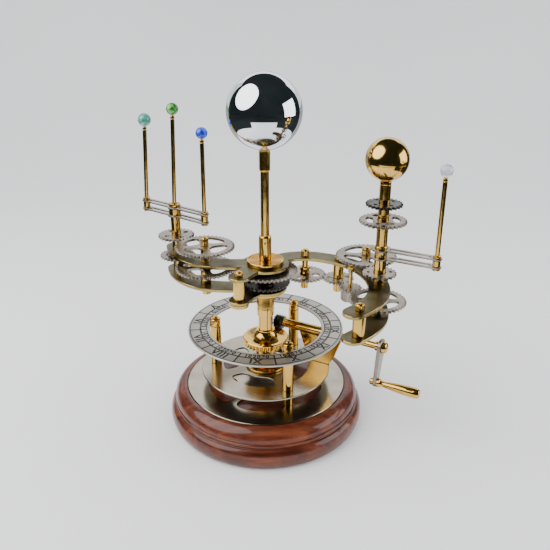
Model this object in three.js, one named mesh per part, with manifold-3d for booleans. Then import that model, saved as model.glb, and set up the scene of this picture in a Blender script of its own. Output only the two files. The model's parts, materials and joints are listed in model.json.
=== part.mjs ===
// A geared brass orrery on a turned wooden base. Millimetres, +Z up, origin under the base's centre.
//
// A crank turns a worm pinion, which turns the drive wheel and, with it, an S-shaped frame of brass
// plates. Wheels on the frame roll around two fixed sun gears and so turn the planet columns at its ends.

import * as THREE from 'three';
import { mergeVertices } from 'three/addons/utils/BufferGeometryUtils.js';
import Module from 'manifold-3d';

const wasm = await Module();
wasm.setup();

// ---- Driving dimensions ----

const GAP = 0.3; // clearance between pieces that touch
const MODULE = 1.4; // of every spur gear
const ADDENDUM = 0.75; // in modules
const DEDENDUM = 1.0; // in modules
const GEAR_THICKNESS = 2.5;
const ROUND = 10; // sides of a small turned piece
const WIDE = 32; // sides of a wide one
const PLATE_THICKNESS = 3;

const BASE_TOP = 38; // floor of the wooden base's recess
const BASE_PLATE = { radius: 82.8, bottom: 38.3, top: 40.3 };
const BASE_WINDOWS = { count: 6, inner: 31, outer: 61.5, half: 27 }; // half of each one's angle
const MIDDLE_PLATE = { radius: 67.2, bottom: 55.7, top: 57.7 };
const MIDDLE_WINDOWS = { count: 4, inner: 27, outer: 45, half: 28, start: -20 };
const DIAL = { inner: 57.6, outer: 79.2, bottom: 101.6, top: 103.6 };
const PILLAR = { orbit: 52.5, azimuths: [-65, 55, 175], radius: 5.6, neck: 4.6, cap: 5.4 };

const POST_RADIUS = 4.5;
const POST_SHOULDER = 7.5;
const POST_FOOT = 21.5; // radius of its flared foot, inside the middle plate's windows
const HUB_BOSS = 6; // radius of the upper sun gear's boss, inside the upper arm plate's hole
const LOWER_PLATE = 146; // underside of the lower arm plates
const UPPER_PLATE = 170.5; // underside of the upper arm plate
const UPPER_PLATE_TOP = UPPER_PLATE + PLATE_THICKNESS;
const LOWER_PLATE_TOP = LOWER_PLATE + PLATE_THICKNESS;

const CROSSED = { count: 4, inner: 11, outer: 22, half: 31 }; // windows of a wheel with four spokes

// Undersides of the four layers of gears.
const LAYER = { low: 152, high: 165, right: 180, left: 187 };

const TEETH = {
  sunUpper: 44, leftLower: 42, leftSpindle: 24, leftUpper: 41, leftTube: 25,
  sunLower: 34, frontIdler: 29, middleIdler: 21, pinion: 15, rightLower: 37,
  rightMiddle: 21, upperIdler: 41, moon: 29, reference: 22,
};

const CRANK = { azimuth: -29, offset: 31.5, height: 94, wheelTeeth: 32, worm: 7.6, wormTeeth: 12 };
const DRIVE_WHEEL = { bottom: 84.5, thickness: 7, top: 100.4 };
const CRANK_ARM = { reach: 37, tilt: 15, inner: 113, thickness: 3.5 };

const SUN = { radius: 34.6, height: 320.8 };
const PLANET = { radius: 18.9, height: 287.5 };
const ROD_RADIUS = 2.05;

// ---- Finishes ----

const BRASS = { color: 0xc89b45, roughness: 0.22, metalness: 1 };
const DARK_BRASS = { color: 0x8d7f4f, roughness: 0.3, metalness: 1 };
const STEEL = { color: 0xa9a39a, roughness: 0.38, metalness: 1 };
const DARK_STEEL = { color: 0x4a4744, roughness: 0.4, metalness: 1 };
const SILVER = { color: 0xb9b6ac, roughness: 0.25, metalness: 1 };
const MIRROR = { color: 0xd8dade, roughness: 0.05, metalness: 1 };
const WOOD = { color: 0x6e2412, roughness: 0.25, metalness: 0 };

// ---- Small helpers ----

const radians = (degrees) => THREE.MathUtils.degToRad(degrees);
const polar = (radius, angle) => [radius * Math.cos(angle), radius * Math.sin(angle)];
const pitchRadius = (teeth) => (MODULE * teeth) / 2;

const orrery = new THREE.Group();

function add(name, geometry, finish, parent = orrery, position = [0, 0, 0]) {
  const mesh = new THREE.Mesh(geometry, new THREE.MeshStandardMaterial(finish));
  mesh.name = name;
  mesh.position.set(...position);
  parent.add(mesh);
  return mesh;
}

function toSolid(geometry) {
  const bare = geometry.clone();
  bare.deleteAttribute('normal');
  bare.deleteAttribute('uv');
  const merged = mergeVertices(bare, 1e-4);
  const vertProperties = Float32Array.from(merged.attributes.position.array);
  const triVerts = Uint32Array.from(merged.index.array);
  return new wasm.Manifold(new wasm.Mesh({ numProp: 3, vertProperties, triVerts }));
}

function toGeometry(solid) {
  const { vertProperties, triVerts } = solid.getMesh();
  const geometry = new THREE.BufferGeometry();
  geometry.setAttribute('position', new THREE.BufferAttribute(vertProperties, 3));
  geometry.setIndex(new THREE.BufferAttribute(triVerts, 1));
  return geometry;
}

const joined = (...parts) => toGeometry(parts.map(toSolid).reduce((all, part) => all.add(part)));

// A turned body from [radius, height] points, bottom to top; the profile ends on the axis or on itself.
function turned(profile, segments = ROUND) {
  const points = profile.map(([radius, height]) => new THREE.Vector2(radius, height));
  return new THREE.LatheGeometry(points, segments).rotateX(Math.PI / 2);
}

// A turned body of plain steps, each [radius, upper end], with an optional bore.
function stepped(bottom, steps, bore = 0, segments = ROUND) {
  const profile = [[bore, bottom]];
  let height = bottom;
  for (const [radius, end] of steps) {
    profile.push([radius, height], [radius, end]);
    height = end;
  }
  profile.push([bore, height]);
  if (bore > 0) profile.push([bore, bottom]);
  return turned(profile, segments);
}

function ball(radius, height, around, rings) {
  return new THREE.SphereGeometry(radius, around, rings).rotateX(Math.PI / 2).translate(0, 0, height);
}

function outline(points) {
  return new THREE.Path(points.map(([x, y]) => new THREE.Vector2(x, y)));
}

function circle(radius, count = ROUND, x = 0, y = 0) {
  const points = [];
  for (let i = 0; i < count; i += 1) {
    const [dx, dy] = polar(radius, (2 * Math.PI * i) / count);
    points.push([x + dx, y + dy]);
  }
  return points;
}

// A window between two radii, centred on an azimuth and reaching half its angle to each side.
function windowOutline(inner, outer, azimuth, half, steps = 3) {
  const points = [];
  for (const [radius, direction] of [[outer, 1], [inner, -1]]) {
    for (let i = 0; i <= steps; i += 1) {
      points.push(polar(radius, radians(azimuth + direction * half * ((2 * i) / steps - 1))));
    }
  }
  return points;
}

function sheet(edge, holes, bottom, thickness) {
  const shape = new THREE.Shape(edge.map(([x, y]) => new THREE.Vector2(x, y)));
  shape.holes = holes.map(outline);
  const geometry = new THREE.ExtrudeGeometry(shape, { depth: thickness, bevelEnabled: false });
  return geometry.translate(0, 0, bottom);
}

// ---- Gears ----

function toothedEdge(teeth, module, phase) {
  const tip = module * (teeth / 2 + ADDENDUM);
  const root = module * (teeth / 2 - DEDENDUM);
  const pitchAngle = (2 * Math.PI) / teeth;
  const edge = [];
  for (let i = 0; i < teeth; i += 1) {
    const middle = phase + i * pitchAngle;
    edge.push(polar(root, middle - 0.4 * pitchAngle), polar(tip, middle));
    edge.push(polar(root, middle + 0.4 * pitchAngle));
  }
  return edge;
}

const sectors = ({ count, inner, outer, half }, start = 0) =>
  Array.from({ length: count }, (_, i) => windowOutline(inner, outer, start + (360 * i) / count, half));

const drillings = (count, orbit, radius, start = 0) =>
  Array.from({ length: count }, (_, i) =>
    circle(radius, 6, ...polar(orbit, radians(start + (360 * i) / count))));

function gear(teeth, phase, bore, holes, bottom, thickness = GEAR_THICKNESS) {
  return sheet(toothedEdge(teeth, MODULE, phase), [circle(bore), ...holes], bottom, thickness);
}

// Phase of the second of two gears, so that one of its gaps faces a tooth of the first.
function meshedPhase(from, teethFrom, phaseFrom, to, teethTo) {
  const line = Math.atan2(to[1] - from[1], to[0] - from[0]);
  const radiusFrom = pitchRadius(teethFrom);
  const radiusTo = pitchRadius(teethTo);
  const halfPitch = (Math.PI * MODULE) / 2;
  return line + Math.PI - (radiusFrom * (phaseFrom - line) + halfPitch) / radiusTo;
}

// ---- Places of the gear axes ----

const meshDistance = (a, b) => pitchRadius(a) + pitchRadius(b);

function along(from, azimuth, distance) {
  const [dx, dy] = polar(distance, radians(azimuth));
  return [from[0] + dx, from[1] + dy];
}

// The point at two given distances from two others, on the right of the way between them.
function thirdCorner(a, b, fromA, fromB) {
  const dx = b[0] - a[0];
  const dy = b[1] - a[1];
  const span = Math.hypot(dx, dy);
  const forward = (span * span + fromA * fromA - fromB * fromB) / (2 * span);
  const side = Math.sqrt(fromA * fromA - forward * forward);
  return [a[0] + (forward * dx + side * dy) / span, a[1] + (forward * dy - side * dx) / span];
}

const T = TEETH;
const CENTRE = [0, 0];
const leftAxle = along(CENTRE, 174.3, meshDistance(T.sunUpper, T.leftLower));
const leftColumn = along(leftAxle, 134.6, meshDistance(T.leftLower, T.leftSpindle));
const frontIdler = along(CENTRE, 24.5, meshDistance(T.sunLower, T.frontIdler));
const middleIdler = along(frontIdler, -17.1, meshDistance(T.frontIdler, T.middleIdler));
const rightColumn = along(middleIdler, -58, 61);
const pinion = thirdCorner(
  middleIdler, rightColumn, meshDistance(T.middleIdler, T.pinion), meshDistance(T.pinion, T.rightLower));
const upperIdler = along(rightColumn, 99, meshDistance(T.rightMiddle, T.upperIdler));
const frontPillar = [-24.6, -33];
const tipPillar = [81, -104];

// ---- Base, plates and dial: the fixed body ----

function woodBase() {
  const profile = [[0, 0], [96, 0], [98.8, 2.5], [101, 7], [101.6, 13], [100.6, 18], [97.6, 21.6]];
  profile.push([95.2, 22.4], [96.2, 26], [95.4, 31], [92.6, 36], [88, 39.4], [83.2, 40]);
  profile.push([83.2, BASE_TOP], [0, BASE_TOP]);
  add('wood_base', turned(profile, WIDE), WOOD);
}

const pillarPlaces = PILLAR.azimuths.map((azimuth) => along(CENTRE, azimuth, PILLAR.orbit));

function basePlates() {
  const { radius, bottom, top } = BASE_PLATE;
  const windows = sectors(BASE_WINDOWS, PILLAR.azimuths[0] + 30);
  add('base_plate', sheet(circle(radius, WIDE), windows, bottom, top - bottom), SILVER);

  const necks = pillarPlaces.map(([x, y]) => circle(PILLAR.neck + GAP, ROUND, x, y));
  const cutouts = sectors(MIDDLE_WINDOWS, MIDDLE_WINDOWS.start);
  const { radius: middleRadius, bottom: middleBottom, top: middleTop } = MIDDLE_PLATE;
  const edge = circle(middleRadius, WIDE);
  const middle = sheet(edge, [...cutouts, ...necks], middleBottom, middleTop - middleBottom);
  add('middle_plate', middle, SILVER);

  const opening = circle(DIAL.inner, WIDE);
  const dial = sheet(circle(DIAL.outer, WIDE), [opening], DIAL.bottom, DIAL.top - DIAL.bottom);
  add('dial_ring', dial, SILVER);
}

function pillars() {
  const { radius, neck, cap } = PILLAR;
  const steps = [
    [radius, MIDDLE_PLATE.bottom - GAP], [neck, MIDDLE_PLATE.top + GAP], [radius, DIAL.bottom - GAP],
    [neck, DIAL.top + GAP], [cap, DIAL.top + 6.2], [2.6, DIAL.top + 8.6],
  ];
  pillarPlaces.forEach(([x, y], i) => {
    add(`pillar_${i + 1}`, stepped(BASE_PLATE.top + GAP, steps), BRASS, orrery, [x, y, 0]);
  });
}

function sunColumn() {
  const footBottom = MIDDLE_PLATE.top + GAP;
  const shoulder = DRIVE_WHEEL.bottom - GAP;
  const post = turned([
    [0, footBottom], [POST_FOOT, footBottom], [POST_FOOT, footBottom + 1.8], [17, 62.4], [12.6, 66],
    [10, 72], [10, 80], [POST_SHOULDER, 82], [POST_SHOULDER, shoulder], [POST_RADIUS, shoulder],
    [POST_RADIUS, 177.4], [0, 177.4]], 20);
  add('fixed_post', post, BRASS);

  const bore = POST_RADIUS + GAP;
  const upper = joined(
    gear(T.sunUpper, 0, bore, [], LAYER.high),
    stepped(LAYER.high + 1, [[HUB_BOSS, UPPER_PLATE_TOP]], bore));
  add('sun_gear_upper', upper, STEEL);
  const lower = joined(
    gear(T.sunLower, 0, bore, drillings(4, 15.5, 3.2, 20), LAYER.low),
    stepped(LOWER_PLATE_TOP + GAP, [[8, LAYER.high - GAP]], bore));
  add('sun_gear_lower', lower, DARK_STEEL);

  const rodTop = SUN.height - SUN.radius + 0.4;
  add('sun_rod', stepped(177.8, [[6.1, 202], [4.1, 267], [5.2, rodTop - 1]]), BRASS);
  add('sun_ball', ball(SUN.radius, SUN.height, 20, 12), MIRROR);
}

// ---- The S-shaped frame ----

const LEFT_ARM = [
  [-8, 0], [-30, -1], [-48, 0], [-61, 3], [-72, 10], [-82, 21], [-89.5, 34], [-94, 48],
];
const RIGHT_ARM = [
  [8, 8], [25, 19], [45, 20.5], [66, 13], [84, 0.5], [96, -16], [103.5, -38], [104, -60],
  [98.5, -79], [88, -95], [76, -107],
];
const TAIL = [[105, -36], [105, -50], [103.5, -64], [98.5, -79], [88, -95], [76, -107]];

// A strip of constant width along a smooth line, with round ends.
function ribbon(line, halfWidth, samples) {
  const curve = new THREE.CatmullRomCurve3(line.map(([x, y]) => new THREE.Vector3(x, y, 0)));
  const right = [];
  const left = [];
  for (let i = 0; i <= samples; i += 1) {
    const { x, y } = curve.getPointAt(i / samples);
    const way = curve.getTangentAt(i / samples);
    right.push([x + way.y * halfWidth, y - way.x * halfWidth]);
    left.unshift([x - way.y * halfWidth, y + way.x * halfWidth]);
  }
  const cap = (at) => {
    const { x, y } = curve.getPointAt(at);
    const way = curve.getTangentAt(at);
    const start = Math.atan2(way.y, way.x) + (at === 0 ? Math.PI / 2 : -Math.PI / 2);
    return [1, 2, 3].map((i) => {
      const [dx, dy] = polar(halfWidth, start + (i * Math.PI) / 4);
      return [x + dx, y + dy];
    });
  };
  return [...right, ...cap(1), ...left, ...cap(0)];
}

function cutPlate(outlines, bottom, holes) {
  const whole = outlines.map((edge) => toSolid(sheet(edge, [], bottom, PLATE_THICKNESS)));
  const cutters = holes.map(([radius, [x, y]]) =>
    toSolid(sheet(circle(radius, 10, x, y), [], bottom - 1, PLATE_THICKNESS + 2)));
  const plate = whole.reduce((all, part) => all.add(part));
  return toGeometry(cutters.reduce((rest, cutter) => rest.subtract(cutter), plate));
}

const AXLE = 2; // radius of a plain gear axle
const AXLE_BORE = AXLE + GAP;
const AXLE_NECK = 3.2; // where an axle passes through a plate
const NECK_HOLE = AXLE_NECK + GAP;

function armPlates() {
  const lobe = ribbon([[-12, -14], [-20, -25], frontPillar], 10, 2);
  const left = ribbon(LEFT_ARM, 11, 13);
  const upper = [left, ribbon(RIGHT_ARM, 10, 18), circle(24, 28), lobe, circle(8, ROUND, ...upperIdler)];
  const upperHoles = [
    [HUB_BOSS + 2 * GAP, CENTRE], [NECK_HOLE, frontPillar], [4.6, leftAxle], [5.1, leftColumn],
    [NECK_HOLE, frontIdler], [NECK_HOLE, middleIdler], [NECK_HOLE, upperIdler], [AXLE_BORE, pinion],
    [6, rightColumn], [NECK_HOLE, tipPillar],
  ];
  add('upper_arm_plate', cutPlate(upper, UPPER_PLATE, upperHoles), DARK_BRASS);

  const lowerHoles = [
    [POST_RADIUS + GAP, CENTRE], [NECK_HOLE, frontPillar], [NECK_HOLE, leftAxle],
    [ROD_RADIUS + GAP, leftColumn],
  ];
  add('lower_arm_plate', cutPlate([left, circle(22, 28), lobe], LOWER_PLATE, lowerHoles), DARK_BRASS);

  const tailHoles = [[NECK_HOLE, rightColumn], [NECK_HOLE, tipPillar]];
  add('tail_plate', cutPlate([ribbon(TAIL, 10, 10)], LOWER_PLATE, tailHoles), DARK_BRASS);
}

function drive() {
  const bore = POST_RADIUS + GAP;
  const { bottom, thickness, top } = DRIVE_WHEEL;
  const inside = bottom + 1;
  const rim = bottom + thickness;
  const flare = turned([
    [bore, inside], [20, inside], [20, rim + 0.6], [14, rim + 2.5], [11.4, top - 2.4], [9.2, top],
    [bore, top], [bore, inside]], 20);
  const wheel = joined(gear(CRANK.wheelTeeth, 0, bore, [], bottom, thickness), flare);
  add('drive_wheel', wheel, BRASS);
  const steps = [[7.4, 117], [8.8, 139], [10.5, 142.4], [20, LOWER_PLATE - GAP]];
  add('drive_sleeve', stepped(100.7, steps, bore, 20), BRASS);
  add('hub_disc', stepped(UPPER_PLATE_TOP + GAP, [[18.4, 177.5]], bore, 24), BRASS);
}

// Axles and pillars of the frame, each one turned piece; the widest steps are its collars and nuts.
function frameAxles() {
  const under = LOWER_PLATE - GAP;
  const over = LOWER_PLATE_TOP + GAP;
  const below = UPPER_PLATE - GAP;
  const above = UPPER_PLATE_TOP + GAP;
  const low = LAYER.low - GAP;
  const lowTop = LAYER.low + GEAR_THICKNESS + GAP;
  const place = (name, [x, y], bottom, steps) =>
    add(name, stepped(bottom, steps), BRASS, orrery, [x, y, 0]);

  place('front_pillar', frontPillar, 139.5, [
    [3.6, 142.5], [9.4, under], [AXLE_NECK, over], [5.6, below], [AXLE_NECK, above], [4.2, 178.8]]);
  place('tip_pillar', tipPillar, 142, [
    [4.4, under], [AXLE_NECK, over], [5.6, below], [AXLE_NECK, above], [4, 180]]);
  place('left_axle', leftAxle, 137, [
    [4.6, under], [AXLE_NECK, over], [5.2, LAYER.high - GAP], [AXLE, 190], [4, 198.5]]);
  place('front_idler_axle', frontIdler, 138, [
    [4, 144.8], [5, low], [AXLE, lowTop], [5, 162], [AXLE_NECK, above], [4.1, 180.8]]);
  place('middle_idler_axle', middleIdler, 139, [
    [4.7, low], [AXLE, lowTop], [5.2, below], [AXLE_NECK, above], [4.4, 178.2]]);
  place('pinion_axle', pinion, 138.5, [[3.4, 140.7], [AXLE, above], [3.4, 177]]);
  place('upper_idler_axle', upperIdler, 166, [
    [4, below], [AXLE_NECK, above], [4.3, LAYER.right - GAP],
    [AXLE, LAYER.right + GEAR_THICKNESS + GAP], [4.4, 190.6]]);
}

// ---- Left planet column ----

const leftLowerPhase = meshedPhase(CENTRE, T.sunUpper, 0, leftAxle, T.leftLower);
const leftSpindlePhase = meshedPhase(leftAxle, T.leftLower, leftLowerPhase, leftColumn, T.leftSpindle);
const leftTubePhase = meshedPhase(leftAxle, T.leftUpper, 0, leftColumn, T.leftTube);

function leftIdler() {
  const position = [...leftAxle, 0];
  const lower = gear(T.leftLower, leftLowerPhase, AXLE_BORE, sectors(CROSSED, 60), LAYER.high);
  add('left_lower_gear', lower, STEEL, orrery, position);
  const upper = gear(T.leftUpper, 0, AXLE_BORE, sectors(CROSSED, 60), LAYER.left);
  add('left_upper_gear', upper, STEEL, orrery, position);
  const sleeve = stepped(LAYER.high + GEAR_THICKNESS + GAP, [[4.3, LAYER.left - GAP]], AXLE_BORE);
  add('left_gear_sleeve', sleeve, BRASS, orrery, position);
}

const LEFT_BARS = { lower: 209.5, upper: 218, reach: 40.4, azimuth: -36.2, thickness: 1.5 };
const RIGHT_BARS = { lower: 196.5, upper: 204.5, reach: 51, azimuth: -27.3, thickness: 1.5 };

// A rod that leans by a small angle towards +X, from its foot upwards.
function leaningRod(bottom, top, lean) {
  const rod = new THREE.CylinderGeometry(ROD_RADIUS, ROD_RADIUS, top - bottom, 8).rotateX(Math.PI / 2);
  rod.translate(0, 0, (top - bottom) / 2).rotateY(radians(lean));
  return rod.translate(0, 0, bottom);
}

// A bead on top of a rod that leans towards +X from its foot.
function bead(name, radius, color, x, y, foot, height, lean) {
  const shift = (height - foot) * Math.tan(radians(lean));
  const finish = { color, roughness: 0.15, metalness: 0 };
  add(name, ball(radius, 0, 10, 7), finish, orrery, [x + shift, y, height]);
}

// The rod's foot clamps both bars of its arm. Returns the height that the rod leans from.
function barRod(name, bars, lean, beadHeight, beadRadius, x, y) {
  const { lower, upper, thickness } = bars;
  const foot = stepped(lower - 2.2, [
    [3.5, lower - GAP], [1.6, lower + thickness + GAP], [3.5, upper - GAP],
    [1.6, upper + thickness + GAP], [3.5, upper + thickness + 2.2]], 0, 8);
  const start = upper + thickness + 1;
  const length = (beadHeight - start) / Math.cos(radians(lean));
  const rod = leaningRod(start, start + length - beadRadius - GAP, lean);
  add(name, joined(foot, rod), BRASS, orrery, [x, y, 0]);
  return start;
}

// One slotted bar, with an eye around the column and a round end for each rod.
function slottedBar(reach, ends, eye, bore, bottom, thickness) {
  const width = 4.6;
  const parts = [];
  const cut = (edge) => sheet(edge, [], bottom - 1, thickness + 2);
  const cutters = [cut(circle(bore))];
  for (const side of ends) {
    const far = side * reach;
    parts.push(sheet(ribbon([[0, 0], [far / 2, 0], [far, 0]], width, 2), [], bottom, thickness));
    const slotLine = [[side * (eye + 1.5), 0], [far / 2, 0], [side * (reach - 7.5), 0]];
    cutters.push(cut(ribbon(slotLine, width - 1.7, 2)));
    cutters.push(cut(circle(1.6 + GAP, 8, far, 0)));
  }
  parts.push(sheet(circle(eye, 12), [], bottom, thickness));
  const body = parts.map(toSolid).reduce((all, part) => all.add(part));
  return toGeometry(cutters.map(toSolid).reduce((rest, cutter) => rest.subtract(cutter), body));
}

function leftColumnParts() {
  const position = [...leftColumn, 0];
  const rodBore = ROD_RADIUS + GAP;
  const spindleGear = gear(T.leftSpindle, leftSpindlePhase, rodBore, drillings(4, 10, 2.2, 20), LAYER.high);
  add('left_spindle_gear', spindleGear, STEEL, orrery, position);
  const greenLean = 2.3;
  const greenFoot = 224;
  const greenHeight = 316.4;
  const straight = stepped(142, [
    [ROD_RADIUS, LOWER_PLATE_TOP + GAP], [5, LAYER.high - GAP], [ROD_RADIUS, greenFoot + 0.5]], 0, 8);
  const leaning = leaningRod(greenFoot, greenHeight - 5.9 - GAP, greenLean);
  add('centre_rod', joined(straight, leaning), BRASS, orrery, position);
  bead('green_bead', 5.9, 0x2f9e3f, ...leftColumn, greenFoot, greenHeight, greenLean);

  const tubeBore = 4.8 + GAP;
  const tubeGear = gear(T.leftTube, leftTubePhase, tubeBore, drillings(4, 11, 2.4, 35), LAYER.left);
  add('left_tube_gear', tubeGear, STEEL, orrery, position);
  const { lower, upper, thickness } = LEFT_BARS;
  const tube = stepped(LAYER.high + GEAR_THICKNESS + GAP, [
    [4.8, lower - GAP], [3.6, lower + thickness + GAP], [6, upper - GAP],
    [3.6, upper + thickness + GAP], [5.6, 222.6]], rodBore + 0.4);
  add('left_tube', tube, BRASS, orrery, position);

  const arm = new THREE.Group();
  arm.position.set(...position);
  arm.rotation.z = radians(LEFT_BARS.azimuth);
  orrery.add(arm);
  const bar = (bottom) => slottedBar(LEFT_BARS.reach, [1, -1], 7.5, 3.6 + GAP, bottom, thickness);
  add('left_bar_lower', bar(lower), STEEL, arm);
  add('left_bar_upper', bar(upper), STEEL, arm);

  const rods = [
    ['teal', 180 + LEFT_BARS.azimuth, 2.9, 302, 6.5, 0x3f8f7c],
    ['blue', LEFT_BARS.azimuth, 0.6, 298.2, 5.7, 0x1c3fc4],
  ];
  for (const [colour, azimuth, lean, height, radius, color] of rods) {
    const [x, y] = along(leftColumn, azimuth, LEFT_BARS.reach);
    const foot = barRod(`${colour}_rod`, LEFT_BARS, lean, height, radius, x, y);
    bead(`${colour}_bead`, radius, color, x, y, foot, height, lean);
  }
}

// ---- Right side ----

const frontIdlerPhase = meshedPhase(CENTRE, T.sunLower, 0, frontIdler, T.frontIdler);
const middleIdlerPhase = meshedPhase(frontIdler, T.frontIdler, frontIdlerPhase, middleIdler, T.middleIdler);
const pinionPhase = meshedPhase(middleIdler, T.middleIdler, middleIdlerPhase, pinion, T.pinion);
const rightLowerPhase = meshedPhase(pinion, T.pinion, pinionPhase, rightColumn, T.rightLower);
const upperIdlerPhase = meshedPhase(rightColumn, T.rightMiddle, 0, upperIdler, T.upperIdler);

function rightTrain() {
  const front = gear(T.frontIdler, frontIdlerPhase, AXLE_BORE, drillings(4, 12, 3.6, -20), LAYER.low);
  add('front_idler', front, STEEL, orrery, [...frontIdler, 0]);
  const middle = gear(T.middleIdler, middleIdlerPhase, AXLE_BORE, drillings(4, 9, 2.2, 5), LAYER.low);
  add('middle_idler', middle, STEEL, orrery, [...middleIdler, 0]);
  const drum = joined(
    gear(T.pinion, pinionPhase, AXLE_BORE, [], LAYER.low),
    stepped(141, [[9, LAYER.low + 1]], AXLE_BORE));
  add('pinion_drum', drum, STEEL, orrery, [...pinion, 0]);
  const idler = gear(T.upperIdler, upperIdlerPhase, AXLE_BORE, sectors(CROSSED, 35), LAYER.right);
  add('upper_idler', idler, STEEL, orrery, [...upperIdler, 0]);
}

function rightColumnParts() {
  const position = [...rightColumn, 0];
  const tubeRadius = 5.6;
  const neckRadius = 5.1;
  const tubeTop = 236.2;
  const post = stepped(142, [
    [4.4, LOWER_PLATE - GAP], [3.2, tubeTop + GAP], [5, PLANET.height - PLANET.radius - GAP]]);
  add('planet_post', post, BRASS, orrery, position);
  add('planet_ball', ball(PLANET.radius, PLANET.height, 16, 10), BRASS, orrery, position);
  const reference = gear(T.reference, 0.1, 5 + GAP, drillings(4, 10, 1.6, 30), 246.4);
  add('reference_gear', reference, DARK_STEEL, orrery, position);

  const tube = stepped(LOWER_PLATE_TOP + GAP, [[tubeRadius, 208], [neckRadius, tubeTop]], 3.6);
  add('right_tube', tube, BRASS, orrery, position);
  const bore = tubeRadius + GAP;
  const lowerWindows = sectors({ ...CROSSED, outer: 20 }, 40);
  const lower = gear(T.rightLower, rightLowerPhase, bore, lowerWindows, LAYER.low);
  add('right_lower_gear', lower, STEEL, orrery, position);
  const middle = gear(T.rightMiddle, 0, bore, drillings(4, 10.2, 1.6, 0), LAYER.right);
  add('right_middle_gear', middle, STEEL, orrery, position);
  const moonWindows = sectors({ count: 4, inner: 9.5, outer: 15, half: 28 });
  const moon = gear(T.moon, 0, neckRadius + GAP, moonWindows, 230.8);
  add('moon_gear', moon, STEEL, orrery, position);

  const { lower: low, upper, thickness, azimuth, reach } = RIGHT_BARS;
  const arm = new THREE.Group();
  arm.position.set(...position);
  arm.rotation.z = radians(azimuth);
  orrery.add(arm);
  const bar = (bottom) => slottedBar(reach, [1], 9, bore, bottom, thickness);
  add('moon_bar_lower', bar(low), STEEL, arm);
  add('moon_bar_upper', bar(upper), STEEL, arm);
  const [x, y] = along(rightColumn, azimuth, reach);
  const height = 283.6;
  const foot = barRod('moon_rod', RIGHT_BARS, 0, height, 5.6, x, y);
  bead('crystal_bead', 5.6, 0xe8eef2, x, y, foot, height, 0);
}

// ---- Crank ----

function crank() {
  const { azimuth, offset, height, worm, wormTeeth } = CRANK;
  const heading = new THREE.Group();
  heading.position.set(...along(CENTRE, azimuth + 90, offset), height);
  heading.rotation.z = radians(azimuth);
  orrery.add(heading);
  // In here +Z runs outwards along the shaft and +X points down.
  const shaftFrame = new THREE.Group();
  shaftFrame.rotation.y = Math.PI / 2;
  heading.add(shaftFrame);

  const bearing = stepped(5, [[5, 72]], 3.5);
  add('crank_bearing', bearing, BRASS, shaftFrame);
  const webTop = -5 - GAP;
  const webFoot = MIDDLE_PLATE.top + GAP - height;
  const webEdge = [[35, webFoot], [59, webFoot], [72, webTop], [24, webTop]];
  const web = sheet(webEdge, [], -1.5, 3).rotateX(Math.PI / 2);
  add('bearing_web', web, BRASS, heading);

  const { reach, tilt, inner, thickness } = CRANK_ARM;
  const outer = inner + thickness;
  const shaft = stepped(-7, [
    [3.2, 74], [3.5, inner - 3.6], [4.8, inner - GAP], [3, outer + GAP], [6.2, outer + 3.4],
    [3.4, outer + 5.6]]);
  add('crank_shaft', shaft, BRASS, shaftFrame);
  const wormEdge = toothedEdge(wormTeeth, (2 * worm) / (wormTeeth + 2 * ADDENDUM), 0);
  add('worm_pinion', sheet(wormEdge, [circle(3.5)], -5, 9.5), DARK_STEEL, shaftFrame);

  const armFrame = new THREE.Group();
  armFrame.rotation.z = radians(-tilt);
  shaftFrame.add(armFrame);
  const armEdge = [];
  for (const [x, radius, start] of [[0, 8.5, 90], [reach, 4.6, -90]]) {
    for (let i = 0; i <= 6; i += 1) {
      const [dx, dy] = polar(radius, radians(start + i * 30));
      armEdge.push([x + dx, dy]);
    }
  }
  const pin = 2;
  const arm = sheet(armEdge, [circle(3 + GAP), circle(pin + GAP, 8, reach, 0)], inner, thickness);
  add('crank_arm', arm, STEEL, armFrame);
  const pinHead = stepped(inner - 4.6, [
    [3.6, inner - GAP], [pin, outer + GAP], [4.6, outer + 3.2], [3, outer + 6.4]]);
  const grip = turned([
    [0, outer + 6], [3, outer + 6], [3.7, outer + 12], [4.8, outer + 24], [5.3, outer + 36],
    [5.2, outer + 42], [4.2, outer + 44], [0, outer + 44]]);
  add('crank_handle', joined(pinHead, grip), BRASS, armFrame, [reach, 0, 0]);
}

woodBase();
basePlates();
pillars();
sunColumn();
armPlates();
drive();
frameAxles();
leftIdler();
leftColumnParts();
rightTrain();
rightColumnParts();
crank();

export default orrery;
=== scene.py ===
"""The looks of a geared orrery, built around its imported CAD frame. Lengths are in millimetres until a
piece is made, when they become metres."""

import json
import math

import bmesh
import bpy
from mathutils import Matrix, Vector
from mathutils.geometry import delaunay_2d_cdt


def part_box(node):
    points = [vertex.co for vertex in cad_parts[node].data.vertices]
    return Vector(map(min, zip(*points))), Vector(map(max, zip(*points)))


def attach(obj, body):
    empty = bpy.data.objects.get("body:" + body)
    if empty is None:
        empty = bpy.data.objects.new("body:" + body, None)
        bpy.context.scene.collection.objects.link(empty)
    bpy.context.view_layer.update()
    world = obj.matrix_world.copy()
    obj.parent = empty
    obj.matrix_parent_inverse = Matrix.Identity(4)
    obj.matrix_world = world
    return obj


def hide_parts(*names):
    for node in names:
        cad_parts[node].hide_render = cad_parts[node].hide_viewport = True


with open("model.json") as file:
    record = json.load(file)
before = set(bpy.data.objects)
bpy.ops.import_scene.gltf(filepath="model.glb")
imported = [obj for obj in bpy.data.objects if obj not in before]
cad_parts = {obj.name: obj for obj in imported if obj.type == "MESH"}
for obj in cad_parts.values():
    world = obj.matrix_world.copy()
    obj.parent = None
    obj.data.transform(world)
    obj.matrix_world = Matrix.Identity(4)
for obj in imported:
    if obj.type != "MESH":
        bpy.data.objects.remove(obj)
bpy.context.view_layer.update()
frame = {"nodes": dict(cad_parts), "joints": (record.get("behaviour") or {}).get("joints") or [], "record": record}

MM = 0.001
FINE = 96  # sides of a wide turned piece
SMALL = 48  # sides of a narrow one
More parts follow.
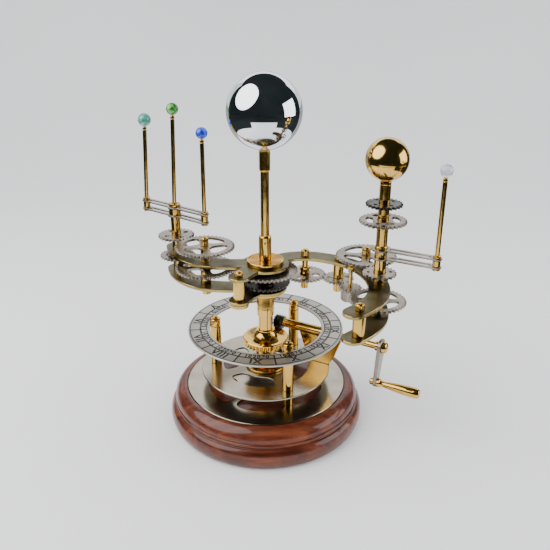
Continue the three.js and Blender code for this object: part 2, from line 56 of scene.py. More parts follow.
SHARPEST = 32  # degrees between faces that still look like one smooth surface
GAP = 0.3  # between pieces that pass each other
GEAR_MODULE = 1.4
COLUMN_BORE = 4.8  # of the pieces around the fixed post
PIN_BORE = 2.3  # of a wheel on its axle
ROD_RADIUS = 2.05  # of the thin rods that carry the beads

RECORD = frame["record"]
BODY_OF = {n: body for body, nodes in RECORD["behaviour"]["bodies"].items() for n in nodes}
AXIS_OF = {j["child"]: [v / MM for v in j["pos_m"]] for j in frame["joints"]}
CRANK_WAY = Vector(next(j["axis"] for j in frame["joints"] if j["child"] == "crank"))


# ---- Places, read from the frame ----


def place(node):
    low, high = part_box(node)
    return (low.x + high.x) / 2 / MM, (low.y + high.y) / 2 / MM


def heights(node):
    low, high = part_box(node)
    return low.z / MM, high.z / MM


def axis_of(node):
    return tuple(AXIS_OF[BODY_OF[node]][:2])


def teeth_of(node, centre):
    """A gear's tooth count, the angle of one tooth, and its tip radius, from its CAD mesh."""
    around = {}
    for vertex in frame["nodes"][node].data.vertices:
        x, y = vertex.co.x / MM - centre[0], vertex.co.y / MM - centre[1]
        angle = round(math.degrees(math.atan2(y, x)) % 360, 1) % 360
        around[angle] = max(around.get(angle, 0), math.hypot(x, y))
    tip = max(around.values())
    tips = sorted(angle for angle, radius in around.items() if radius > tip - 0.02)
    return len(tips), math.radians(tips[0]), tip


# ---- Mesh parts: (vertices, faces) in millimetres ----


def polar(radius, angle):
    return radius * math.cos(angle), radius * math.sin(angle)


def softened(points, radius=0.35, closed=False):
    """The points with each corner rounded a little."""
    last = len(points) - 1
    soft = []
    for i, point in enumerate(points):
        if not closed and i in (0, last):
            soft.append(point)
            continue
        here = Vector(point)
        ends = []
        for other in (points[i - 1], points[(i + 1) % len(points)]):
            way = Vector(other) - here
            ends.append(here + way.normalized() * min(radius, 0.45 * way.length))
        middle = 0.25 * ends[0] + 0.5 * here + 0.25 * ends[1]
        soft += [tuple(ends[0]), tuple(middle), tuple(ends[1])]
    return soft


def smooth_line(points, steps=6):
    """A Catmull-Rom curve through the points."""
    padded = [points[0], *points, points[-1]]
    line = []
    for a, b, c, d in zip(padded, padded[1:], padded[2:], padded[3:]):
        for i in range(steps):
            t = i / steps
            line.append(tuple(
                0.5 * (2 * q + (r - p) * t + (2 * p - 5 * q + 4 * r - s) * t**2
                       + (3 * q - p - 3 * r + s) * t**3)
                for p, q, r, s in zip(a, b, c, d)))
    return [*line, tuple(points[-1])]


def lathe(profile, segments=SMALL, closed=False):
    """A turned part from (radius, height) points, bottom to top."""
    verts, rings, faces = [], [], []
    for radius, height in profile:
        count = 1 if radius < 1e-4 else segments
        rings.append(range(len(verts), len(verts) + count))
        verts += [(*polar(radius, 2 * math.pi * i / segments), height) for i in range(count)]
    pairs = list(zip(rings, rings[1:]))
    if closed:
        pairs.append((rings[-1], rings[0]))
    for lower, upper in pairs:
        for i in range(segments):
            j = i + 1
            corners = [ring[k % len(ring)] for ring, k in ((lower, i), (lower, j % segments),
                                                           (upper, j % segments), (upper, i))]
            face = list(dict.fromkeys(corners))
            if len(face) > 2:
                faces.append(face)
    return verts, faces


def stepped(bottom, steps, bore=0.0, segments=SMALL, edge=0.35):
    """A turned part of plain steps, each (radius, upper end), with softened corners."""
    profile = [(bore, bottom)]
    height = bottom
    for radius, end in steps:
        profile += [(radius, height), (radius, end)]
        height = end
    profile.append((bore, height))
    return lathe(softened(profile, edge, closed=bore > 0), segments, closed=bore > 0)


def dome(radius, height, rise, steps=6):
    """Profile points of a domed end above a height, ending on the axis."""
    quarter = [math.pi / 2 * i / steps for i in range(steps)]
    return [(radius * math.cos(a), height + rise * math.sin(a)) for a in quarter] + [(0, height + rise)]


def globe(radius, height, low, high, steps):
    """Profile points of a sphere between two latitudes."""
    for i in range(steps + 1):
        angle = math.radians(low + (high - low) * i / steps)
        yield radius * math.cos(angle), height + radius * math.sin(angle)


def circle(radius, count=SMALL, x=0.0, y=0.0):
    return [(x + radius * math.cos(2 * math.pi * i / count),
             y + radius * math.sin(2 * math.pi * i / count)) for i in range(count)]


def area(loop):
    return sum(a[0] * b[1] - b[0] * a[1] for a, b in zip(loop, [*loop[1:], loop[0]])) / 2


def inset(loop, distance):
    """The loop moved to its left, which is into the material."""
    moved = []
    for i, point in enumerate(loop):
        a, b, c = Vector(loop[i - 1]), Vector(point), Vector(loop[(i + 1) % len(loop)])
        first, second = (b - a).normalized(), (c - b).normalized()
        normal = Vector((-first.y - second.y, first.x + second.x))
        normal /= max(0.6, 1 + first.dot(second))
        moved.append(tuple(b + normal * distance))
    return moved


def triangulated(loops, nearness):
    """Flat triangles around the loops, each with the list of the loops that it lies in."""
    points, faces = [], []
    for loop in loops:
        faces.append(list(range(len(points), len(points) + len(loop))))
        points += [Vector(p) for p in (loop if area(loop) > 0 else loop[::-1])]
    verts, _, triangles, _, _, inside = delaunay_2d_cdt(points, [], faces, 0, nearness)
    return verts, list(zip(triangles, inside))


def fill(loops):
    """Flat triangles of the area inside an odd number of the loops, which don't cross."""
    verts, triangles = triangulated(loops, 1e-6)
    return verts, [triangle for triangle, within in triangles if len(within) % 2 == 1]


def sheet(edge, holes, bottom, top, chamfer):
    """A flat part with chamfered edges, from an outline and its holes."""
    loops = [edge if area(edge) > 0 else edge[::-1]]
    loops += [hole[::-1] if area(hole) > 0 else hole for hole in holes]
    small = [inset(loop, chamfer) for loop in loops]
    verts, faces = [], []
    for wide, narrow in zip(loops, small):
        rows = [(narrow, bottom), (wide, bottom + chamfer), (wide, top - chamfer), (narrow, top)]
        start, count = len(verts), len(wide)
        for loop, height in rows:
            verts += [(x, y, height) for x, y in loop]
        for row in range(3):
            low, high = start + row * count, start + (row + 1) * count
            faces += [(low + i, low + (i + 1) % count, high + (i + 1) % count, high + i)
                      for i in range(count)]
    flat, triangles = fill(small)
    for height, upwards in ((bottom, False), (top, True)):
        start = len(verts)
        verts += [(v.x, v.y, height) for v in flat]
        for triangle in triangles:
            corners = [start + i for i in triangle]
            faces.append(corners if upwards else corners[::-1])
    return verts, faces


def united(outlines):
    """The outer loop around overlapping outlines."""
    verts, triangles = triangulated(outlines, 1e-4)
    kept = [triangle for triangle, within in triangles if within]
    sides = {(t[i], t[(i + 1) % 3]) for t in kept for i in range(3)}
    following = {a: b for a, b in sides if (b, a) not in sides}
    loops = []
    while following:
        start, here = following.popitem()
        loop = [start]
        while here != start:
            loop.append(here)
            here = following.pop(here)
        loops.append([tuple(verts[i]) for i in loop])
    return max(loops, key=lambda loop: abs(area(loop)))


def ribbon(line, half_width, cap_steps=14):
    """A strip of constant width along a smooth line, with round ends."""
    path = [Vector(p) for p in smooth_line(line)]
    ways = [(b - a).normalized() for a, b in zip(path, path[1:])]
    ways = [ways[0], *((a + b).normalized() for a, b in zip(ways, ways[1:])), ways[-1]]
    right = [(p.x + w.y * half_width, p.y - w.x * half_width) for p, w in zip(path, ways)]
    left = [(p.x - w.y * half_width, p.y + w.x * half_width) for p, w in zip(path, ways)]

    def cap(point, start):
        turns = [start + math.pi * i / cap_steps for i in range(1, cap_steps)]
        return [(point.x + half_width * math.cos(a), point.y + half_width * math.sin(a)) for a in turns]

    ahead = math.atan2(ways[-1].y, ways[-1].x) - math.pi / 2
    behind = math.atan2(ways[0].y, ways[0].x) + math.pi / 2
    return right + cap(path[-1], ahead) + left[::-1] + cap(path[0], behind)


def moved(part, x=0.0, y=0.0, z=0.0, matrix=None):
    verts, faces = part
    matrix = matrix or Matrix.Translation((x, y, z))
    return [tuple(matrix @ Vector(v)) for v in verts], faces


# ---- Pieces ----


def build(name, parts, material):
    """One mesh object of several parts."""
    mesh = bpy.data.meshes.new(name)
    verts, faces = [], []
    for part_verts, part_faces in parts:
        start = len(verts)
        verts += [[c * MM for c in v] for v in part_verts]
        faces += [[start + i for i in face] for face in part_faces]
    mesh.from_pydata(verts, [], faces)
    shape = bmesh.new()
    shape.from_mesh(mesh)
    bmesh.ops.remove_doubles(shape, verts=shape.verts, dist=1e-7)
    bmesh.ops.recalc_face_normals(shape, faces=shape.faces)
    shape.to_mesh(mesh)
    shape.free()
    mesh.shade_smooth()
    mesh.set_sharp_from_angle(angle=math.radians(SHARPEST))
    mesh.materials.append(material)
    obj = bpy.data.objects.new(name, mesh)
    bpy.context.scene.collection.objects.link(obj)
    normals = obj.modifiers.new("even normals", "WEIGHTED_NORMAL")
    normals.keep_sharp = True
    return obj


def stand_for(node, parts, material):
    """A fine piece in place of a CAD node, on the same body."""
    obj = build(f"{node}_fine", parts, material)
    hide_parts(node)
    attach(obj, BODY_OF[node])
    return obj


def detail(name, node, parts, material, slot=None):
    """A small extra piece that goes with a CAD node."""
    obj = build(name, parts, material)
    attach(obj, BODY_OF[node])
    return obj


# ---- Materials ----


class Shader:
    """A material's node tree, with its principled shader."""

    def __init__(self, name, **sockets):
        self.material = bpy.data.materials.new(name)
        self.material.use_nodes = True
        self.tree = self.material.node_tree
        self.bsdf = self.tree.nodes["Principled BSDF"]
        for socket, value in sockets.items():
            self.bsdf.inputs[socket.replace("_", " ")].default_value = value
        self.space = self.tree.nodes.new("ShaderNodeTexCoord").outputs["Object"]

    def node(self, kind, **values):
        made = self.tree.nodes.new(f"ShaderNode{kind}")
        for key, value in values.items():
            if hasattr(made, key):
                setattr(made, key, value)
            else:
                made.inputs[key].default_value = value
        return made

    def link(self, output, target):
        self.tree.links.new(output, target)

    def stretched(self, scale):
        mapping = self.node("Mapping", Scale=scale)
        self.link(self.space, mapping.inputs["Vector"])
        return mapping.outputs["Vector"]

    def rings(self):
        """Coordinates that only change with the distance from the column."""
        flat = self.stretched((1, 1, 0))
        length = self.node("VectorMath", operation="LENGTH")
        self.link(flat, length.inputs[0])
        return length.outputs["Value"]

    def noise(self, vector, scale, detail=4, distortion=0.0):
        made = self.node("TexNoise", Scale=scale, Detail=detail, Distortion=distortion)
        self.link(vector, made.inputs["Vector"])
        return made.outputs["Fac"]

    def ramp(self, value, stops):
        made = self.node("ValToRGB")
        elements = made.color_ramp.elements
        while len(elements) < len(stops):
            elements.new(0.5)
        for element, (position, color) in zip(elements, stops):
            element.position = position
            element.color = (*color, 1)
        self.link(value, made.inputs["Fac"])
        return made.outputs["Color"]

    def between(self, value, low, high):
        limits = {"From Min": 0.3, "From Max": 0.7, "To Min": low, "To Max": high}
        made = self.node("MapRange", **limits)
        self.link(value, made.inputs["Value"])
        return made.outputs["Result"]

    def bump(self, value, depth):
        made = self.node("Bump", Strength=0.6, Distance=depth)
        self.link(value, made.inputs["Height"])
        self.link(made.outputs["Normal"], self.bsdf.inputs["Normal"])

    def color(self, output):
        self.link(output, self.bsdf.inputs["Base Color"])

    def roughness(self, output):
        self.link(output, self.bsdf.inputs["Roughness"])


def metal(name, dark, light, smoothest, roughest, grain, depth=5e-7):
    """A metal with clouded tarnish, uneven polish and fine tool marks along one direction."""
    shader = Shader(name, Metallic=1.0)
    tarnish = shader.noise(shader.space, 45, 6, 0.4)
    shader.color(shader.ramp(tarnish, [(0.3, dark), (0.72, light)]))
    shader.roughness(shader.between(shader.noise(shader.space, 140, 5), smoothest, roughest))
    shader.bump(shader.noise(shader.stretched(grain), 1.0, 3), depth)
    return shader.material


def ringed_metal(name, dark, light, smoothest, roughest, depth):
    """A metal faced off on a lathe, with fine marks around the column."""
    shader = Shader(name, Metallic=1.0)
    shader.color(shader.ramp(shader.noise(shader.space, 30, 6, 0.5), [(0.3, dark), (0.7, light)]))
    marks = shader.node("TexNoise", noise_dimensions="1D", Scale=2600, Detail=2)
    shader.link(shader.rings(), marks.inputs["W"])
    shader.roughness(shader.between(marks.outputs["Fac"], smoothest, roughest))
    shader.bump(marks.outputs["Fac"], depth)
    return shader.material


def ink():
    shader = Shader("black_ink", Specular_IOR_Level=0.3)
    blotches = shader.noise(shader.space, 400, 3)
    shader.color(shader.ramp(blotches, [(0.3, (0.006,) * 3), (0.7, (0.02,) * 3)]))
    shader.roughness(shader.between(shader.noise(shader.space, 900, 3), 0.4, 0.6))
    return shader.material


def mahogany():
    """Varnished red-brown wood: long grain along X, pores and slow colour changes."""
    shader = Shader("mahogany", Coat_Weight=0.55, Coat_Roughness=0.06, Specular_IOR_Level=0.25)
    long_grain = shader.noise(shader.stretched((7, 60, 60)), 2.2, 7, 0.6)
    color = shader.ramp(long_grain, [
        (0.25, (0.034, 0.006, 0.002)), (0.5, (0.100, 0.017, 0.004)), (0.75, (0.200, 0.043, 0.009))])
    pores = shader.noise(shader.stretched((80, 1400, 1400)), 1.0, 3)
    mix = shader.node("Mix", data_type="RGBA", blend_type="MULTIPLY")
    mix.inputs["Factor"].default_value = 0.55
    shader.link(color, mix.inputs["A"])
    shader.link(shader.ramp(pores, [(0.36, (0.45, 0.36, 0.34)), (0.5, (1, 1, 1))]), mix.inputs["B"])
    shader.color(mix.outputs["Result"])
    shader.roughness(shader.between(long_grain, 0.3, 0.48))
    shader.bump(pores, 1.5e-5)
    return shader.material


def stone(name, colors, scale, distortion):
    """A polished bead with swirls of several colours."""
    shader = Shader(name, Coat_Weight=0.8, Coat_Roughness=0.03)
    swirl = shader.noise(shader.space, scale, 5, distortion)
    steps = len(colors) - 1
    shader.color(shader.ramp(swirl, [(0.32 + 0.36 * i / steps, c) for i, c in enumerate(colors)]))
    shader.roughness(shader.between(shader.noise(shader.space, 300, 3), 0.06, 0.16))
    return shader.material


def glass_with_painted_grey():
    shader = Shader("glass_with_painted_grey", Transmission_Weight=1.0, IOR=1.5)
    # The grey of this tint is painted shade: it stands in for the darker surroundings seen through the clear bead.
    painted_grey = shader.noise(shader.space, 200, 3)
    shader.color(shader.ramp(painted_grey, [(0.3, (0.52, 0.55, 0.58)), (0.7, (0.70, 0.73, 0.76))]))
    shader.roughness(shader.between(shader.noise(shader.space, 500, 2), 0.0, 0.04))
    return shader.material


TURNED = (300, 300, 9000)  # marks around an upright axis
FACED = (300, 4500, 4500)  # marks along X

BRASS = metal("polished_brass", (0.60, 0.355, 0.075), (0.78, 0.50, 0.13), 0.09, 0.17, TURNED)
PLATE_BRASS = metal("olive_brass_plate", (0.10, 0.088, 0.042), (0.18, 0.157, 0.078), 0.3, 0.42, FACED)
NICKEL = metal("nickel_gear_steel", (0.28, 0.247, 0.208), (0.41, 0.363, 0.31), 0.27, 0.38, FACED)
# Its very dark colour is a painted dark reflection, standing in for the dark surroundings that polished steel
# reflects.
PAINTED_DARK_STEEL = metal("steel_with_painted_dark_reflection", (0.05, 0.047, 0.043), (0.13, 0.12, 0.11), 0.22, 0.4, FACED)
PLATE_SILVER = ringed_metal("faced_silver_plate", (0.33, 0.30, 0.235), (0.46, 0.42, 0.345),
                            0.16, 0.26, 1e-6)
DIAL_SILVER = ringed_metal("brushed_dial", (0.42, 0.40, 0.355), (0.53, 0.51, 0.46), 0.32, 0.44, 1.5e-6)
EDGE_BRASS = metal("polished_plate_edge", (0.30, 0.22, 0.075), (0.48, 0.36, 0.14), 0.14, 0.24, TURNED)
CHROME = metal("mirror_chrome", (0.72, 0.75, 0.77), (0.86, 0.88, 0.9), 0.0, 0.025, (20, 20, 20), 1e-8)
INK = ink()
WOOD = mahogany()
TEAL = stone("teal_stone", [(0.02, 0.12, 0.09), (0.05, 0.27, 0.2), (0.22, 0.5, 0.4)], 160, 1.4)
GREEN = stone("green_glass", [(0.008, 0.07, 0.01), (0.03, 0.24, 0.03), (0.25, 0.45, 0.12)], 120, 2.2)
BLUE = stone("blue_glass", [(0.004, 0.01, 0.13), (0.01, 0.03, 0.44), (0.07, 0.16, 0.8)], 110, 1.6)
CRYSTAL = glass_with_painted_grey()


# ---- Gears ----


def toothed(teeth, phase, tip, module=GEAR_MODULE):
    """A gear's outline: pointed teeth with rounded tips and a flat between them."""
    pitch = 2 * math.pi / teeth
    depth = 1.75 * module
    # One tooth, as shares of the pitch across and of the depth up.
    tooth = [(-0.4, 0), (-0.3, 0.32), (-0.17, 0.66), (-0.07, 0.93), (0, 1)]
    tooth += [(-across, rise) for across, rise in tooth[-2::-1]]
    return [polar(tip - depth + depth * rise, phase + (i + across) * pitch)
            for i in range(teeth) for across, rise in tooth]


def windows(count, inner, outer, spoke, start, steps=40):
    """Kidney-shaped windows between straight spokes, with round corners."""
    found = []
    for k in range(count):
        azimuth = math.radians(start + 360 * k / count)
        loop = []
        for i in range(steps):
            turn = 2 * math.pi * i / steps
            across = math.copysign(abs(math.cos(turn)) ** 0.45, math.cos(turn))
            rise = math.copysign(abs(math.sin(turn)) ** 0.6, math.sin(turn))
            radius = (inner + outer) / 2 + rise * (outer - inner) / 2
            half = math.pi / count - spoke / (2 * radius)
            loop.append(polar(radius, azimuth + across * half))
        found.append(loop)
    return found


def drillings(count, orbit, radius, start):
    return [circle(radius, 24, *polar(orbit, math.radians(start + 360 * i / count)))
            for i in range(count)]


def gear(node, bore, holes, material=NICKEL, bottom=None, thickness=2.5, extra=(), centre=None):
    """A fine gear in place of a CAD one, with its tooth count and phase."""
    centre = centre or axis_of(node)
    teeth, phase, tip = teeth_of(node, centre)
    low = heights(node)[0] if bottom is None else bottom
    wheel = sheet(toothed(teeth, phase, tip), [circle(bore), *holes], low, low + thickness, 0.15)
    parts = [moved(part, *centre) for part in (wheel, *extra)]
    return stand_for(node, parts, material)


# ---- Base, plates, dial ----


def wood_base():
    bulge = smooth_line([(96, 0), (99.4, 2.4), (101.2, 7), (101.6, 12), (100.4, 17), (97.4, 20.6)], 8)
    bead = [(97.4, 20.6), (95.8, 21.3), (95.3, 22.6), (96.5, 23.4), (96.4, 24.8), (95.4, 25.6)]
    bead = smooth_line(bead, 5)
    cove = smooth_line([(95.4, 25.6), (96.1, 28.5), (95, 32.5), (92, 36.4), (87.8, 39.1), (84.6, 40)], 8)
    lip = [(83.6, 39.9), (83.2, 39.4), (83.2, 38.1), (0, 38.0)]
    foot = [(0, 0.6), (88, 0.6), (89, 0)]
    stand_for("wood_base", [lathe([*foot, *bulge, *bead[1:], *cove[1:], *lip], 160)], WOOD)


PILLARS = ("pillar_1", "pillar_2", "pillar_3")
PILLAR_NECK = 4.6  # radius where a pillar passes a plate


def base_plates():
    low, high = heights("base_plate")
    first = math.degrees(math.atan2(*reversed(place("pillar_1"))))
    openings = windows(6, 31, 61.5, 5.8, first + 30)
    stand_for("base_plate", [sheet(circle(82.8, 160), openings, low, high, 0.35)], PLATE_SILVER)

    low, high = heights("middle_plate")
    cuts = windows(4, 27, 45, 13, -20)
    necks = [circle(PILLAR_NECK + GAP, 32, *place(node)) for node in PILLARS]
    plate = sheet(circle(67.2, 144), [*cuts, *necks], low, high, 0.35)
    stand_for("middle_plate", [plate], PLATE_SILVER)


DIAL_RADII = (57.6, 60.6, 66.4, 67.4, 77.4)  # opening, then the circles that bound its bands


def annulus(inner, outer, bottom, top):
    return lathe([(inner, bottom), (outer, bottom), (outer, top), (inner, top)], FINE, closed=True)


def stroke(radius_from, radius_to, angle, width, bottom, top):
    """A short radial bar."""
    out, side = Vector(polar(1, angle)), Vector(polar(1, angle + math.pi / 2))
    corners = [out * radius_from - side * width / 2, out * radius_to - side * width / 2,
               out * radius_to + side * width / 2, out * radius_from + side * width / 2]
    verts = [(c.x, c.y, z) for z in (bottom, top) for c in corners]
    walls = [(i, (i + 1) % 4, 4 + (i + 1) % 4, 4 + i) for i in range(4)]
    return verts, [(3, 2, 1, 0), (4, 5, 6, 7), *walls]


def lettering(text, size, radius, angle, height):
    """Flat raised letters that face outwards on a circle around the column."""
    curve = bpy.data.curves.new("letters", "FONT")
    curve.body = text
    curve.size = size
    curve.align_x = "CENTER"
    curve.align_y = "CENTER"
    curve.extrude = 0.03
    curve.offset = size * 0.05
    curve.space_character = 1.25
    letters = bpy.data.objects.new("letters", curve)
    bpy.context.scene.collection.objects.link(letters)
    mesh = bpy.data.meshes.new_from_object(letters)
    turn = Matrix.Rotation(angle + math.pi / 2, 4, "Z")
    shift = Matrix.Translation((*polar(radius, angle), height))
    verts = [tuple(shift @ turn @ v.co) for v in mesh.vertices]
    faces = [tuple(p.vertices) for p in mesh.polygons]
    bpy.data.objects.remove(letters)
    bpy.data.meshes.remove(mesh)
    return verts, faces


NUMERALS = "I II III IV V VI VII VIII IX X XI XII".split()


def dial():
    low, high = heights("dial_ring")
    opening, *bands = DIAL_RADII
    ring = sheet(circle(79.2, 160), [circle(opening, 160)], low, high, 0.3)
    stand_for("dial_ring", [ring], DIAL_SILVER)

    under, over = high - 0.05, high + 0.05
    letters_at = high + 0.03
    hour, first_hour = math.radians(30), math.radians(8)
    marks = [annulus(radius - 0.42, radius + 0.42, under, over) for radius in bands]
    for i, numeral in enumerate(NUMERALS):
        start = first_hour + hour * i
        marks.append(stroke(bands[0], bands[-1], start, 1.5, under, over))
        ticks = [start + hour * k / 6 for k in range(6)]
        marks += [stroke(bands[-1], 78.4, angle, 0.6, under, over) for angle in ticks]
        marks.append(lettering(numeral, 10.2, 72.2, start + hour / 2, letters_at))
        marks += [lettering(str(10 * k), 6.2, 63.5, start + hour * k / 4, letters_at)
                  for k in (1, 2, 3)]
    detail("dial_marks", "dial_ring", marks, INK)


def pillars():
    top = heights("dial_ring")[1]
    shelf_low, shelf_high = heights("middle_plate")
    bottom = heights(PILLARS[0])[0]
    wide, neck, cap = 5.6, PILLAR_NECK, 5.4
    profile = [(0, bottom), (wide, bottom), (wide, shelf_low - GAP), (neck, shelf_low - GAP),
               (neck, shelf_high + GAP), (wide, shelf_high + GAP), (wide, top - 2.3), (neck, top - 2.3)]
    capped = [(neck, 0.3), (cap, 0.3), (cap, 3.6), (cap - 0.6, 3.9), (cap - 0.6, 4.3), (cap, 4.6),
              (cap - 0.1, 5), (cap - 0.8, 5.9), (2.8, 6.5), (2.2, 6.7), (2.3, 7.2), (2.6, 7.7),
              (2, 8.3), (0, 8.6)]
    profile += [(radius, top + rise) for radius, rise in capped]
    for node in PILLARS:
        stand_for(node, [moved(lathe(softened(profile, 0.25)), *place(node))], BRASS)


# ---- Column and drive ----


def fixed_post():
    low, high = heights("fixed_post")
    shoulder = heights("drive_wheel")[0] - GAP
    flare = [(21.2, 2.2), (17, 3.6), (13, 6.8), (10.6, 11), (9.9, 15)]
    flare = smooth_line([(radius, low + rise) for radius, rise in flare])
    post = [(0, low), (21.2, low), (21.5, low + 0.4), (21.5, low + 1.8), *flare, (9.9, 79.6), (9.4, 80),
            (7.5, 82), (7.5, shoulder), (4.5, shoulder), (4.5, high), (0, high)]
    stand_for("fixed_post", [lathe(softened(post, 0.3), FINE)], BRASS)


def sun_gears():
    low, high = heights("sun_gear_upper")
    hub = stepped(low + 2, [(6, high)], COLUMN_BORE)
    gear("sun_gear_upper", COLUMN_BORE, [], centre=(0, 0), extra=[hub])
    low, high = heights("sun_gear_lower")
    drum = stepped(low, [(8, high)], COLUMN_BORE)
    gear("sun_gear_lower", COLUMN_BORE, drillings(4, 15.5, 3.2, 20), PAINTED_DARK_STEEL, low + 2.7,
         centre=(0, 0), extra=[drum])


def set_screws(name, node, centre, levels, back, head, radius, socket):
    """Socket screws in the front of an upright piece, one at each level. Their backs, their heads and
    the floors of their sockets are given as distances from the piece's middle."""
    socket_radius, socket_floor = socket
    profile = [(0, back), (radius, back), (radius, head), (socket_radius, head),
               (socket_radius, socket_floor), (0, socket_floor)]
    screw = lathe(softened(profile, 0.1), 24)
    forward = Matrix.Rotation(math.pi / 2, 4, "X")
    screws = [moved(screw, matrix=Matrix.Translation((*centre, level)) @ forward) for level in levels]
    detail(name, node, screws, PAINTED_DARK_STEEL, "dark_steel")


def sun_rod():
    low, high = heights("sun_rod")
    rod = [(0, low), (6.1, low), (6.1, 201), (5.6, 202), (4.1, 202.2), (4.1, 266), (5, 266.6),
           (5.2, 267.4), (5.2, high - 0.6), (4.6, high), (0, high)]
    stand_for("sun_rod", [lathe(softened(rod, 0.3))], BRASS)
    set_screws("sun_rod_screws", "sun_rod", (0, 0), (183, 196), 5.2, 6.35, 1, (0.45, 6.1))


def sun_ball():
    low, high = heights("sun_ball")
    middle, radius = (low + high) / 2, (high - low) / 2
    surface = list(globe(radius, middle, -86, 90, 96))
    stand_for("sun_ball", [lathe([(0, surface[0][1]), *surface[:-1], (0, high)], 192)], CHROME)


def hub_disc():
    low, high = heights("hub_disc")
    radius = 18.4
    profile = [(COLUMN_BORE, low), (radius, low), (radius, high - 0.5), (radius - 0.5, high)]
    floor = high - 1.3
    for groove in (16.2, 13.6, 11, 8.4):
        profile += [(groove + 0.75, high), (groove + 0.5, floor), (groove - 0.5, floor),
                    (groove - 0.75, high)]
    profile += [(COLUMN_BORE, high)]
    stand_for("hub_disc", [lathe(softened(profile, 0.12, closed=True), FINE, closed=True)], BRASS)


def drive_wheel():
    """A toothed wheel below, and a dish above it that narrows to the sleeve."""
    low, top = heights("drive_wheel")
    teeth_top, rim_top = low + 5, low + 7
    rim, neck = 23.3, 9.2
    dish = [(COLUMN_BORE, teeth_top + 0.1), (rim - 0.6, teeth_top + 0.1), (rim, teeth_top + 0.6),
            (rim, rim_top - 0.6), (rim - 0.6, rim_top)]
    dish += smooth_line([(rim - 1.4, rim_top - 0.1), (19, rim_top + 0.2), (15, rim_top + 1.4),
                         (12, rim_top + 3.6), (10, rim_top + 6.4), (neck, top - 0.6)])
    dish += [(neck, top), (COLUMN_BORE, top)]
    gear("drive_wheel", COLUMN_BORE, [], BRASS, low, teeth_top - low,
         [lathe(dish, FINE, closed=True)], (0, 0))


def drive_sleeve():
    low, high = heights("drive_sleeve")
    sleeve = [(COLUMN_BORE, low), (7.4, low), (7.4, 117), (8.8, 117.2), (8.8, 125), (8.5, 125.4),
              (8.8, 125.8), (8.8, 137)]
    sleeve += smooth_line([(8.8, 137), (9.3, 139.8), (11.5, 141.9), (15.5, 142.7)], 5)[1:]
    sleeve += [(19.2, 142.9), (20, 143.6), (20, high - 0.4), (19.5, high), (COLUMN_BORE, high)]
    stand_for("drive_sleeve", [lathe(softened(sleeve, 0.2, closed=True), FINE, closed=True)], BRASS)


# ---- Frame plates and axles ----

AXLE_NECK = 3.2  # radius where an axle passes a plate
AXLE_PIN = 2.0  # radius where it carries a wheel
SPINDLE_BORE = 2.35  # around the left column's centre rod

# Middle lines of the frame's arms.
LEFT_ARM = [(-8, 0), (-30, -1), (-48, 0), (-61, 3), (-72, 10), (-82, 21), (-89.5, 34), (-94, 48)]
RIGHT_ARM = [(8, 8), (25, 19), (45, 20.5), (66, 13), (84, 0.5), (96, -16), (103.5, -38), (104, -60),
             (98.5, -79), (88, -95), (76, -107)]
TAIL = [(105, -36), (105, -50), (103.5, -64), (98.5, -79), (88, -95), (76, -107)]


def hole(radius, node):
    return circle(radius, 36, *place(node))


def arm_plate(node, edge, holes):
    """A plate with satin faces, whose edges are polished."""
    plate = stand_for(node, [sheet(edge, holes, *heights(node), 0.35)], PLATE_BRASS)
    plate.data.materials.append(EDGE_BRASS)
    for face in plate.data.polygons:
        if abs(face.normal.z) < 0.9:
            face.material_index = 1


def arm_plates():
    neck = AXLE_NECK + GAP
    lobe = ribbon([(-12, -14), (-20, -25), place("front_pillar")], 10)
    left = ribbon(LEFT_ARM, 11)
    left_axis = axis_of("left_lower_gear")
    left_column = axis_of("left_tube_gear")
    right_column = axis_of("right_tube")

    idler = circle(8, 40, *place("upper_idler_axle"))
    upper = united([left, ribbon(RIGHT_ARM, 10), circle(24, 96), lobe, idler])
    holes = [circle(6.6), hole(neck, "front_pillar"), circle(4.6, 36, *left_axis),
             circle(5.1, 36, *left_column), circle(6, 36, *right_column), hole(PIN_BORE, "pinion_axle")]
    necked = ("front_idler_axle", "middle_idler_axle", "upper_idler_axle", "tip_pillar")
    holes += [hole(neck, node) for node in necked]
    arm_plate("upper_arm_plate", upper, holes)

    lower = united([left, circle(22, 96), lobe])
    holes = [circle(COLUMN_BORE), hole(neck, "front_pillar"), circle(neck, 36, *left_axis),
             circle(SPINDLE_BORE, 36, *left_column)]
    arm_plate("lower_arm_plate", lower, holes)

    holes = [circle(neck, 36, *right_column), hole(neck, "tip_pillar")]
    arm_plate("tail_plate", ribbon(TAIL, 10), holes)


def knurled(radius, bottom, top, ridges=20):
    """A nut with an upright-ridged side and a domed top."""
    edge = [polar(radius - (0.22 if i % 2 else 0), math.pi * i / ridges) for i in range(2 * ridges)]
    body = sheet(edge, [], bottom, top, 0.18)
    dome_radius = radius * 0.82
    end = [(0, top - 0.2), (dome_radius, top - 0.2), *dome(dome_radius, top, radius * 0.32)]
    return [body, lathe(end)]


